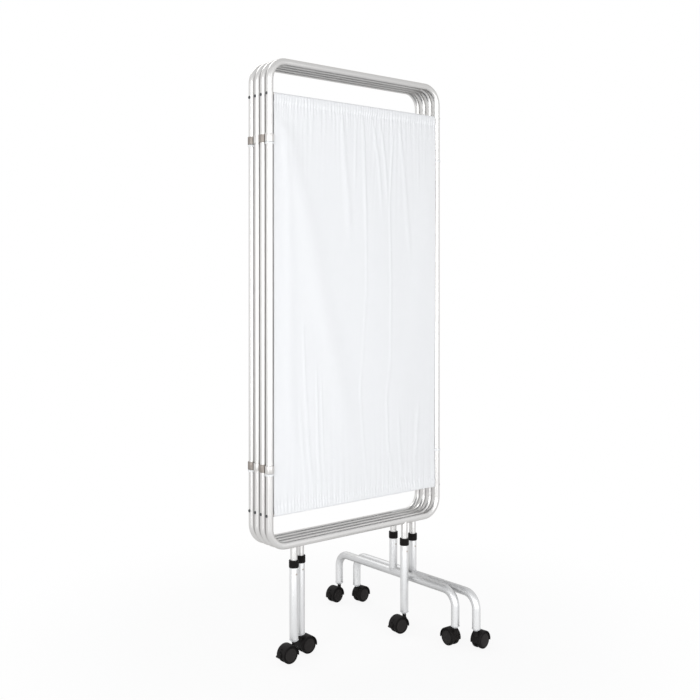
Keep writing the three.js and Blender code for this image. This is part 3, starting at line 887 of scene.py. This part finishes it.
def seam_stitches(panel, number, material):
    """Stitches along both rod pockets, made with geometry nodes."""
    cloth = settings().cloth
    bm = bmesh.new()
    for rod_z, turn in ((ROD_Z["upper"], -1), (ROD_Z["lower"], 1)):
        z = rod_z + turn * cloth.hem
        count = round(2 * CLOTH_HALF_WIDTH / cloth.stitch)
        folds = folds_at(z, panel)
        last = None
        for i in range(1, count):
            x = CLOTH_HALF_WIDTH * (2 * i / count - 1)
            depth = cloth_depth(x, z, True, number, folds)
            y = PANEL_Y[panel] - CLOTH_WRAP + depth - cloth.thickness * 0.6
            point = bm.verts.new((x, y, z))
            if last:
                bm.edges.new((last, point))
            last = point
    nodes = Nodes(f"stitches_{panel}", ("Length", "Float", cloth.stitch * 0.72),
                  ("Thickness", "Float", cloth.thickness * 0.8))
    length, thick = nodes.asked
    thread = nodes.node("GeometryNodeMeshCylinder", None, {
        "Vertices": 5, "Radius": thick, "Depth": length})
    laid = nodes.node("GeometryNodeTransform", None, {
        "Geometry": thread, "Rotation": (0.0, math.pi / 2, 0.0)})
    placed = nodes.node("GeometryNodeInstanceOnPoints", None, {
        "Points": nodes.source, "Instance": laid})
    return nodes.result(placed, material, mesh_from(bm, f"seam_{panel}"))


class WARD_OT_curtains(bpy.types.Operator):
    """Makes the gathered curtains with their seams"""

    bl_idname = "ward_screen.curtains"
    bl_label = "Curtains"

    def execute(self, context):
        cloth = settings().cloth
        white = curtain_cloth("curtain_cloth", settings().colours.cloth, cloth.thread)
        thread = moulded_plastic("sewing_thread", settings().colours.cloth, 0.6, 0.02)
        for number, panel in enumerate(PANELS):
            mesh, length = curtain_mesh(panel, number)
            body = f"panel_{panel}"
            piece = add_mesh(f"curtain_cloth_{panel}", mesh, white, body, 180)
            sewn = seam_stitches(panel, number, thread)
            stitches = add_mesh(
                f"curtain_stitches_{panel}", sewn, thread, body, 60)
            shell = piece.modifiers.new("thickness", "SOLIDIFY")
            shell.thickness = cloth.thickness
            shell.offset = 0.0
            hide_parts(f"curtain_{panel}")
        return {"FINISHED"}


def foot_path(x, y_front, y_rear):
    """Middle line of a foot's bent bar."""
    tube = settings().tube
    bend, quarter = tube.foot_bend, math.pi / 2
    level = tube.foot_height - bend
    line = [(y_front, LEG_FOOT_Z)]
    line += arc_points(bend, math.pi, quarter, tube.steps, (y_front + bend, level))
    line += arc_points(bend, quarter, 0.0, tube.steps, (y_rear - bend, level))
    return [Vector((x, y, z)) for y, z in [*line, (y_rear, LEG_FOOT_Z)]]


class WARD_OT_legs(bpy.types.Operator):
    """Makes the outer leg tubes, the feet and their rivets"""

    bl_idname = "ward_screen.legs"
    bl_label = "Legs and feet"

    def execute(self, context):
        tube = settings().tube
        colours = settings().colours
        metal = satin_metal("leg_aluminium", colours.leg, 0.48, ALONG_Z)
        rivet = satin_metal("rivet_metal", colours.rivet, 0.30, EVEN)
        inner = tube.leg - tube.wall
        for panel in LEGS:
            bm = bmesh.new()
            sleeve = hollow(inner, tube.leg, LEG_FOOT_Z, LEG_TOP_Z, 0.0006)
            turned(bm, sleeve, tube.sides, upright(LEG_X[panel], panel))
            leg = add_piece(f"outer_leg_{panel}", bm, metal, f"leg_{panel}")
            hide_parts(f"leg_tube_{panel}")
            self.add_rivet("leg", panel, LEG_X[panel], rivet)
        bar = tube.foot_height
        # The bars of the feet get the same painted shade as the top rails, up to their own top
        shaded_bars = ((bar - 0.035, bar - 0.005, bar + 0.0125, bar + 0.0135, 0.80),)
        metal = satin_metal("foot_aluminium", colours.leg, 0.48, ALONG_Z, shaded_bars)
        for panel in FEET:
            self.add_foot(panel, metal, rivet)
        return {"FINISHED"}

    def add_foot(self, panel, metal, rivet):
        tube = settings().tube
        low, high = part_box(f"t_foot_{panel}")
        x = FOOT_X[panel]
        bm = bmesh.new()
        path = foot_path(x, low.y + tube.leg, high.y - tube.leg)
        swept(bm, path, tube.leg, tube.sides, Vector((1.0, 0.0, 0.0)))
        sleeve = hollow(tube.leg - tube.wall, tube.leg, tube.foot_height, LEG_TOP_Z, 0.0006)
        turned(bm, sleeve, tube.sides, upright(x, panel))
        foot = add_piece(f"foot_tube_{panel}", bm, metal, f"foot_{panel}")
        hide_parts(f"t_foot_{panel}")
        bm = bmesh.new()
        centre = Vector((x, PANEL_Y[panel], tube.foot_height))
        weld_loop(bm, centre, tube.leg * 0.99, tube.leg, 1, False)
        add_piece(f"foot_weld_{panel}", bm, metal, f"foot_{panel}", 80)
        self.add_rivet("foot", panel, x, rivet)

    @staticmethod
    def add_rivet(kind, panel, x, material):
        tube = settings().tube
        height = COLLAR_LOW.z - RIVET_DROP
        radius, edge, rise = tube.rivet, 0.0003, 0.0007
        dome = [(0, -0.0008), (radius, -0.0008), (radius, edge)]
        dome += [(radius * c, edge + rise * s)
                 for c, s in arc_points(1.0, 0.0, math.pi / 2, 5)[1:5]]
        dome += [(0.0006, edge + rise), (0.0004, 0.0006), (0, 0.0006)]
        bm = bmesh.new()
        face = Matrix.Translation((x, PANEL_Y[panel] - tube.leg, height))
        turned(bm, dome, 24, face @ Matrix.Rotation(math.pi / 2, 4, "X"))
        add_piece(f"{kind}_rivet_{panel}", bm, material, f"{kind}_{panel}")


class WARD_OT_collars(bpy.types.Operator):
    """Makes the ribbed twist collars"""

    bl_idname = "ward_screen.collars"
    bl_label = "Twist collars"

    def execute(self, context):
        tube = settings().tube
        black = moulded_plastic("black_plastic", settings().colours.black, 0.55, 0.004, 0.12)
        profile = self.profile()
        for kind, places in (("leg", LEG_X), ("foot", FOOT_X)):
            for panel, x in places.items():
                name = f"{kind}_{panel}"
                bm = bmesh.new()
                turned(bm, profile, 56, upright(x, panel))
                collar = add_piece(
                    f"twist_collar_{name}", bm, black, f"collar_{name}", 30)
                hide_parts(f"collar_{name}")
        return {"FINISHED"}

    @staticmethod
    def profile():
        """Closed section: lip over the leg's top, fine ribs outside and an eased skirt."""
        tube = settings().tube
        low, top = COLLAR_LOW.z, COLLAR_HIGH.z
        outer = COLLAR_RADIUS
        groove = 0.0006
        section = [(tube.leg + SEAT_GAP, low), (outer - 0.0010, low),
                   (outer - 0.0003, low + 0.0008)]
        ribs = 6
        pitch = (top - low - 0.006) / ribs
        for i in range(ribs):
            start = low + 0.0022 + i * pitch
            section += [(outer, start), (outer, start + pitch * 0.55),
                        (outer - groove, start + pitch * 0.68),
                        (outer - groove, start + pitch * 0.9)]
        section += [(outer, top - 0.0030), (outer, top - 0.0012), (outer - 0.0010, top),
                    (tube.stub + 2 * SEAT_GAP, top), (tube.stub + SEAT_GAP, top - 0.0006),
                    (tube.stub + SEAT_GAP, LEG_TOP_Z + SEAT_GAP),
                    (tube.leg + SEAT_GAP, LEG_TOP_Z + SEAT_GAP)]
        return section


def castor_place(name):
    """Matrix at a castor's axle with +X towards its stem."""
    axle = middle(f"castor_wheels_{name}")
    stem = middle(f"castor_bush_{name}")
    turn = math.atan2(stem.y - axle.y, stem.x - axle.x)
    trail = math.hypot(stem.x - axle.x, stem.y - axle.y)
    return Matrix.Translation(axle) @ Matrix.Rotation(turn, 4, "Z"), trail


def plate(bm, outline, half, place, ease=0.0):
    """Adds a flat piece with its outline in X and Z and its thickness along Y."""
    levels = [(-half, ease), (-half + ease, 0.0), (half - ease, 0.0), (half, ease)] if ease else [
        (-half, 0.0), (half, 0.0)]
    middle_x = sum(x for x, _ in outline) / len(outline)
    middle_z = sum(z for _, z in outline) / len(outline)
    rims = []
    for y, inset in levels:
        rim = []
        for x, z in outline:
            away = Vector((x - middle_x, z - middle_z))
            away = away * (1 - inset / max(away.length, 1e-6))
            rim.append(bm.verts.new(place @ Vector((middle_x + away.x, y, middle_z + away.y))))
        rims.append(rim)
    skin(bm, rims)


def hood_shell(bm, place):
    """Curved cover over both wheels with rolled side rims."""
    castor = settings().castor
    half = castor.half_width + 0.0006
    outer, inner = castor.hood, castor.hood - castor.hood_wall
    rim = [(inner, 0.0014), (inner - 0.0006, 0.0012), (inner - 0.0006, 0.0),
           (outer - 0.0009, 0.0), (outer - 0.0002, 0.0008), (outer, 0.002)]
    section = [(r, -half + deep) for r, deep in rim]
    section += [(r, half - deep) for r, deep in reversed(rim)]
    steps = 40
    rims = []
    for i in range(steps + 1):
        turn = castor.hood_span + (math.pi - 2 * castor.hood_span) * i / steps
        c, s = cosine_sine(turn)
        rims.append([bm.verts.new(place @ Vector((r * c, y, r * s))) for r, y in section])
    skin(bm, rims)


class WARD_OT_castors(bpy.types.Operator):
    """Makes the castor bodies, wheels, brake pedals and bushes"""

    bl_idname = "ward_screen.castors"
    bl_label = "Castors"

    def execute(self, context):
        colours = settings().colours
        black = moulded_plastic("castor_black", colours.black, 0.55, 0.004, 0.12)
        tread_and_cup_shade = moulded_plastic("wheel_tread", darker(colours.black, 0.7), 0.6, 0.006, 0.1)
        disc = moulded_plastic("wheel_disc", colours.disc, 0.55, 0.004, 0.12)
        pale = moulded_plastic("bush_plastic", colours.pale, 0.26, 0.03)
        for name in CASTORS:
            place, trail = castor_place(name)
            self.add_body(name, place, trail, black)
            self.add_wheels(name, place, tread_and_cup_shade, disc)
            self.add_bush(name, pale)
            if name in BRAKED:
                self.add_pedal(name, place, black, tread_and_cup_shade)
        return {"FINISHED"}

    @staticmethod
    def add_body(name, place, trail, material):
        castor = settings().castor
        body_low, body_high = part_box(f"castor_body_{name}")
        bush_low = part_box(f"castor_bush_{name}")[0].z
        axle_z = place.translation.z
        bm = bmesh.new()
        hood_shell(bm, place)
        span = castor.hood_span
        web = arc_points(castor.hood - castor.hood_wall / 2, span, math.pi - span, 32)
        web += arc_points(castor.hood / 3, math.pi, 2 * math.pi, 14)
        plate(bm, web, castor.web / 2, place)
        boss_top = bush_low - axle_z - SEAT_GAP
        flare = castor.boss * 1.5
        rise = math.sqrt(castor.hood ** 2 - trail ** 2) - 0.006
        boss = [(0, rise), (flare, rise), (flare, rise + 0.003),
                (castor.boss * 1.12, rise + 0.0065), (castor.boss, rise + 0.009),
                (castor.boss, boss_top - 0.0008),
                (castor.boss - 0.0006, boss_top), (castor.stem, boss_top),
                (castor.stem, body_high.z - axle_z), (0, body_high.z - axle_z)]
        turned(bm, boss, 32, place @ Matrix.Translation((trail, 0.0, 0.0)))
        body = add_piece(f"castor_hood_{name}", bm, material, f"castor_{name}", 30)
        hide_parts(f"castor_body_{name}")

    @staticmethod
    def add_wheels(name, place, tread_and_cup_shade, disc):
        castor = settings().castor
        gap = castor.web / 2 + 0.0006
        outer = castor.half_width
        radius = castor.radius
        bm = bmesh.new()
        caps = bmesh.new()
        for side in (1, -1):
            turn = place @ Matrix.Rotation(-side * math.pi / 2, 4, "X")
            profile = [(0.003, gap), (radius - 0.0022, gap), (radius - 0.0006, gap + 0.0007),
                       (radius, gap + 0.0020), (radius, outer - 0.0034),
                       (radius - 0.0007, outer - 0.0018), (radius - 0.0022, outer - 0.0010),
                       (radius * 0.80, outer - 0.0012),
                       (radius * 0.79, outer - 0.0022), (0.003, outer - 0.0022)]
            turned(bm, profile, 64, turn)
            cap = [(0, outer - 0.0028), (radius * 0.77, outer - 0.0028),
                   (radius * 0.77, outer - 0.0012), (radius * 0.755, outer - 0.0006),
                   (radius * 0.60, outer - 0.0001), (radius * 0.30, outer), (0, outer)]
            turned(caps, cap, 64, turn)
        turned(bm, [(0, -gap), (0.003, -gap), (0.003, gap), (0, gap)], 16,
               place @ Matrix.Rotation(-math.pi / 2, 4, "X"))
        wheels = add_piece(f"wheels_{name}", bm, tread_and_cup_shade, f"wheels_{name}", 30)
        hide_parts(f"castor_wheels_{name}")
        add_piece(f"wheel_discs_{name}", caps, disc, f"wheels_{name}", 30)

    @staticmethod
    def add_bush(name, material):
        castor = settings().castor
        low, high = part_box(f"castor_bush_{name}")
        centre = (low + high) / 2
        brim = LEG_FOOT_Z - SEAT_GAP
        flange = (high.y - low.y) / 2
        bore = castor.stem + SEAT_GAP
        tip = castor.bush_tip
        profile = [(bore, low.z), (tip - 0.0005, low.z), (tip, low.z + 0.0005)]
        for i in range(1, 6):
            t = i / 6
            height = low.z + 0.0005 + (brim - 0.0014 - low.z) * t
            profile.append((tip + (flange - tip) * t ** 0.9, height))
        profile += [(flange, brim - 0.0008), (flange, brim - 0.0003), (flange - 0.0003, brim),
                    (0.0096, brim), (0.0096, high.z), (bore, high.z)]
        body = "_".join(name.split("_")[:2])
        bm = bmesh.new()
        turned(bm, profile, 48, Matrix.Translation((centre.x, centre.y, 0.0)))
        bush = add_piece(f"bush_{name}", bm, material, body, 30)
        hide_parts(f"castor_bush_{name}")

    @staticmethod
    def add_pedal(name, place, material, dark):
        castor = settings().castor
        low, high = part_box(f"brake_pedal_{name}")
        axle_z = place.translation.z
        top, base = high.z - axle_z, low.z - axle_z
        inner = -castor.hood * math.cos(castor.hood_span) - SEAT_GAP
        outer = -castor.hood - castor.pedal
        tip = 0.0025
        outline = [(inner, base), (inner, top - 0.0006), (inner - 0.0005, top - 0.0002)]
        for i in range(1, 6):
            t = i / 6
            sag = 0.0009 * math.sin(math.pi * t)
            outline.append((inner + (outer + tip - inner) * t, top + (tip - top) * t - sag))
        outline += [(outer + tip, tip), (outer + 0.0008, tip * 0.7), (outer, 0.0),
                    (outer, -tip + 0.0006), (outer + 0.0006, -tip)]
        bm = bmesh.new()
        plate(bm, outline, 0.007, place, 0.0007)
        for k in range(3):
            x = outer + tip + 0.0006 + 0.0016 * k
            z = tip + (x - outer - tip) * 0.80 - 0.0004
            rib = [(x, z), (x + 0.0008, z + 0.0006), (x + 0.0005, z + 0.0012),
                   (x + 0.0001, z + 0.0009)]
            plate(bm, rib, 0.0052, place)
        pedal = add_piece(f"pedal_{name}", bm, material, f"brake_{name}", 30)
        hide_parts(f"brake_pedal_{name}")
        bm = bmesh.new()
        # The two cups take the darker tread colour: painted shade standing in for the shade in
        # their hollows
        for radius, rise in ((0.0022, 40), (0.0029, 21)):
            cup = [(0, 0.0001), (radius - 0.0009, 0.0001), (radius - 0.0006, 0.0008),
                   (radius - 0.0002, 0.0008), (radius, 0.0), (radius, -0.0006), (0, -0.0006)]
            lean = Matrix.Rotation(math.radians(rise - 90), 4, "Y")
            turned(bm, cup, 16, place @ lean @ Matrix.Translation((0.0, 0.0, castor.hood)))
        add_piece(f"hood_cups_{name}", bm, dark, f"castor_{name}", 30)


def label_patch(bm, centre, radius, along, length):
    """Thin curved patch on a tube that runs along X or Y."""
    steps = 14
    half, outside = length / 2, radius + LABEL_LIFT
    corners = ((-half, outside), (half, outside), (half, radius), (-half, radius))
    rims = []
    for k in range(steps + 1):
        c, s = cosine_sine(math.pi / 2 + LABEL_SPREAD * (k / steps - 0.5))
        rim = []
        for end, reach in corners:
            off = (end, reach * c, reach * s) if along == "X" else (reach * c, end, reach * s)
            rim.append(bm.verts.new(centre + Vector(off)))
        rims.append(rim)
    skin(bm, rims)


class WARD_OT_labels(bpy.types.Operator):
    """Makes the two blank labels"""

    bl_idname = "ward_screen.labels"
    bl_label = "Blank labels"

    def execute(self, context):
        tube = settings().tube
        paper = plain_label("blank_label", settings().colours.label)
        rail = Vector((0.234, PANEL_Y["a"], tube.rail))
        bar = Vector((FOOT_X["a"], PANEL_Y["a"] + 0.191, tube.foot_height))
        for name, centre, radius, along, length, body in (
                ("rail_label", rail, TUBE_RADIUS, "X", 0.076, "panel_a"),
                ("foot_label", bar, tube.leg, "Y", 0.057, "foot_a")):
            bm = bmesh.new()
            label_patch(bm, centre, radius, along, length)
            add_piece(name, bm, paper, body)
        return {"FINISHED"}


def white_for_camera(tree, shader, white):
    """Shows plain white to the camera and in reflections, and the given shader to other rays."""
    rays = new_node(tree, "ShaderNodeLightPath").outputs
    seen = rays["Is Camera Ray"]
    for ray in ("Is Glossy Ray", "Is Transmission Ray"):
        either = {0: seen, 1: rays[ray]}
        seen = new_node(tree, "ShaderNodeMath", {"operation": "MAXIMUM"}, either).outputs[0]
    choice = {"Fac": seen, 1: shader, 2: white}
    return new_node(tree, "ShaderNodeMixShader", None, choice).outputs[0]


class WARD_OT_stage(bpy.types.Operator):
    """Makes the floor, the world, the lamps and the camera"""

    bl_idname = "ward_screen.stage"
    bl_label = "Stage"

    def execute(self, context):
        self.add_floor()
        self.add_world()
        self.add_lamps()
        self.add_camera()
        bpy.context.scene.view_settings.view_transform = "Standard"
        return {"FINISHED"}

    @staticmethod
    def add_floor():
        reach = 12.0
        bm = bmesh.new()
        corners = [bm.verts.new((x, y, -0.0002)) for x, y in (
            (-reach, -reach), (reach, -reach), (reach, reach), (-reach, reach))]
        bm.faces.new(corners)
        mesh = mesh_from(bm, "floor")
        floor = new_object("floor", mesh)
        finish = Finish("floor_paint")
        matt = finish.node("ShaderNodeBsdfDiffuse", None, {"Color": rgba(settings().colours.floor)})
        white = finish.node("ShaderNodeEmission", None, {"Color": PLAIN_WHITE, "Strength": 1.0})
        where = finish.node("ShaderNodeTexCoord", output="Object")
        away = finish.node(
            "ShaderNodeVectorMath", {"operation": "LENGTH"}, {0: where}, output="Value")
        share = finish.step(away, 0.35, 1.3) * 0.10 + 0.90
        half = finish.node("ShaderNodeMixShader", None, {"Fac": share, 1: matt, 2: white})
        seen = white_for_camera(finish.tree, matt, half)
        finish.close(seen)
        mesh.materials.append(finish.material)

    @staticmethod
    def add_world():
        world = bpy.data.worlds.new("studio")
        bpy.context.scene.world = world
        world.use_nodes = True
        tree = world.node_tree
        tree.nodes.clear()
        soft, white = (
            new_node(tree, "ShaderNodeBackground", None, {"Color": colour, "Strength": strength})
            for colour, strength in ((SKY, 0.40), (PLAIN_WHITE, 1.0)))
        seen = white_for_camera(tree, soft.outputs[0], white.outputs[0])
        new_node(tree, "ShaderNodeOutputWorld", None, {"Surface": seen})

    @staticmethod
    def add_lamps():
        lamps = (
            ("key", (-2.60, -1.15, 1.20), (1.2, 2.3), 27.5),
            ("bank", (-1.55, -2.85, 1.20), (1.6, 2.2), 17.0),
            ("fill", (0.25, -3.00, 1.10), (1.1, 2.0), 22.5),
            ("side", (2.75, -1.20, 1.25), (0.7, 2.2), 2.5),
            ("back", (0.00, 2.00, 3.30), (1.6, 1.0), 24.0),
            ("far", (-2.60, 1.50, 1.20), (0.8, 2.0), 4.0),
        )
        for name, place, (wide, tall), power in lamps:
            data = bpy.data.lights.new(name, "AREA")
            data.shape = "RECTANGLE"
            data.size = wide
            data.size_y = tall
            data.energy = power
            lamp = new_object(name, data)
            lamp.visible_camera = False
            lamp.location = place
            aim = Vector((0.0, 0.0, 1.0)) - Vector(place)
            lamp.rotation_euler = aim.to_track_quat("-Z", "Y").to_euler()

    @staticmethod
    def add_camera():
        values = settings().camera
        data = bpy.data.cameras.new("camera")
        data.sensor_width = 36.0
        data.lens = values.lens
        data.shift_y = values.shift
        data.clip_end = 100.0
        camera = new_object("camera", data)
        camera.location = values.place
        camera.rotation_euler = (math.pi / 2 - values.pitch, 0.0, -values.yaw)
        bpy.context.scene.camera = camera


class WardScreenSettings(bpy.types.PropertyGroup):
    """All the settings of the ward screen."""

    tube: bpy.props.PointerProperty(type=TubeSettings)
    cloth: bpy.props.PointerProperty(type=ClothSettings)
    castor: bpy.props.PointerProperty(type=CastorSettings)
    colours: bpy.props.PointerProperty(type=ColourSettings)
    camera: bpy.props.PointerProperty(type=CameraSettings)


OPERATORS = (WARD_OT_frames, WARD_OT_rings, WARD_OT_rods, WARD_OT_clamps, WARD_OT_curtains,
             WARD_OT_legs, WARD_OT_collars, WARD_OT_castors, WARD_OT_labels, WARD_OT_stage)


class WARD_PT_screen(bpy.types.Panel):
    """Buttons for each group of pieces"""

    bl_idname = "WARD_PT_screen"
    bl_label = "Ward screen"
    bl_space_type = "VIEW_3D"
    bl_region_type = "UI"
    bl_category = "Ward screen"

    def draw(self, context):
        for operator in OPERATORS:
            self.layout.operator(operator.bl_idname)


CLASSES = (TubeSettings, ClothSettings, CastorSettings, ColourSettings, CameraSettings,
           WardScreenSettings, *OPERATORS, WARD_PT_screen)


def register():
    for item in CLASSES:
        bpy.utils.register_class(item)
    bpy.types.Scene.ward_screen = bpy.props.PointerProperty(type=WardScreenSettings)


def unregister():
    del bpy.types.Scene.ward_screen
    for item in reversed(CLASSES):
        bpy.utils.unregister_class(item)


def main():
    register()
    bpy.ops.ward_screen.frames()
    bpy.ops.ward_screen.rings()
    bpy.ops.ward_screen.rods()
    bpy.ops.ward_screen.clamps()
    bpy.ops.ward_screen.curtains()
    bpy.ops.ward_screen.legs()
    bpy.ops.ward_screen.collars()
    bpy.ops.ward_screen.castors()
    bpy.ops.ward_screen.labels()
    bpy.ops.ward_screen.stage()


if __name__ == "__main__":
    main()
